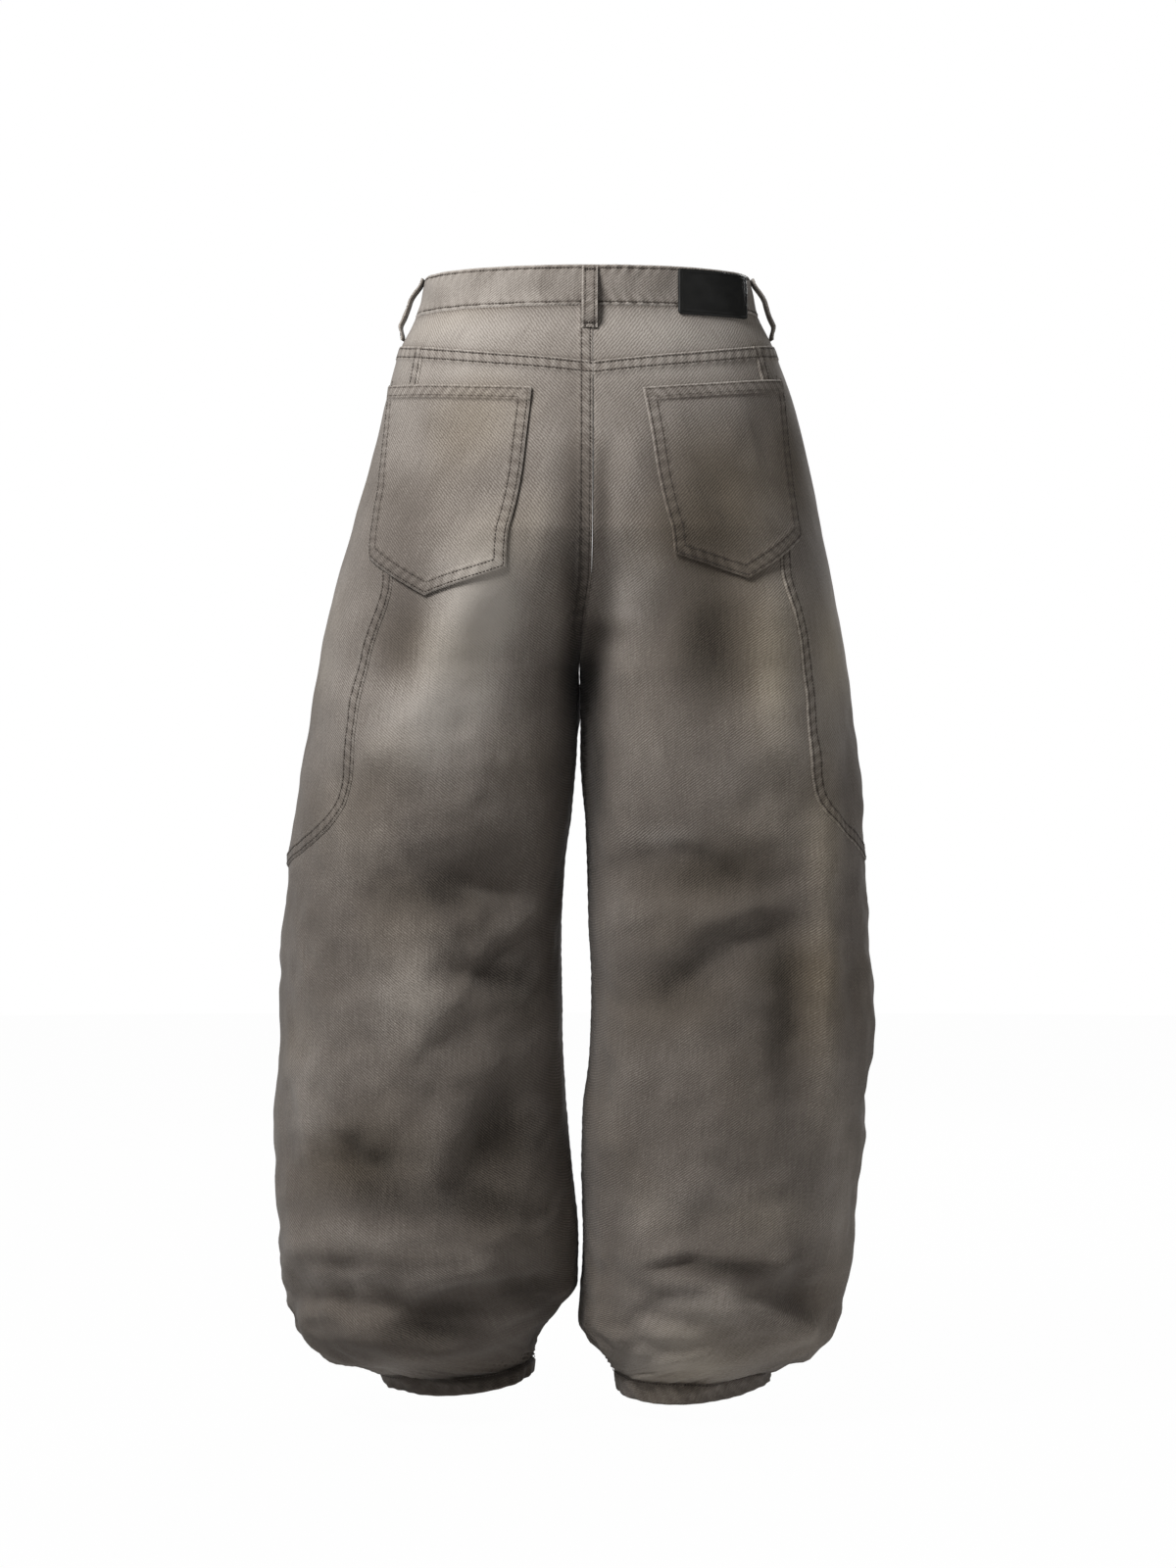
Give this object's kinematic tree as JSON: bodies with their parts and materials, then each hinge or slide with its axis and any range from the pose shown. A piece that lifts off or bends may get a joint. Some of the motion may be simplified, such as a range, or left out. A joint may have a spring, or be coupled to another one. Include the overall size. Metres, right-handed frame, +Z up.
{
  "type": "jeans",
  "caption": "Washed grey-brown barrel-leg jeans, filled out and hollow, with a yoke, patch back pockets, side panels, belt loops and a plain leather patch.",
  "frame": {"origin": "centre of the waist opening, at the middle of the waistband's height", "axes": "+Z up out of the waist, +Y out of the wearer's back, +X towards the wearer's left"},
  "size_m": [0.5365, 0.2984, 1.0022],
  "materials": {
    "denim": "washed twill",
    "band_denim": "washed twill, paler",
    "patch_leather": "smooth, semi-matt",
    "button_metal": "aged"
  },
  "bodies": {
    "root": {"waistband": "band_denim", "yoke_left": "denim", "yoke_right": "denim", "back_left": "denim", "back_right": "denim", "front_left": "denim", "front_right": "denim", "side_panel_left": "denim", "side_panel_right": "denim", "back_pocket_left": "denim", "back_pocket_right": "denim", "fly_flap": "denim", "loop_back": "band_denim", "loop_side_left": "band_denim", "loop_side_right": "band_denim", "loop_front_left": "band_denim", "loop_front_right": "band_denim", "patch": "patch_leather", "button": "button_metal"}
  },
  "joints": []
}
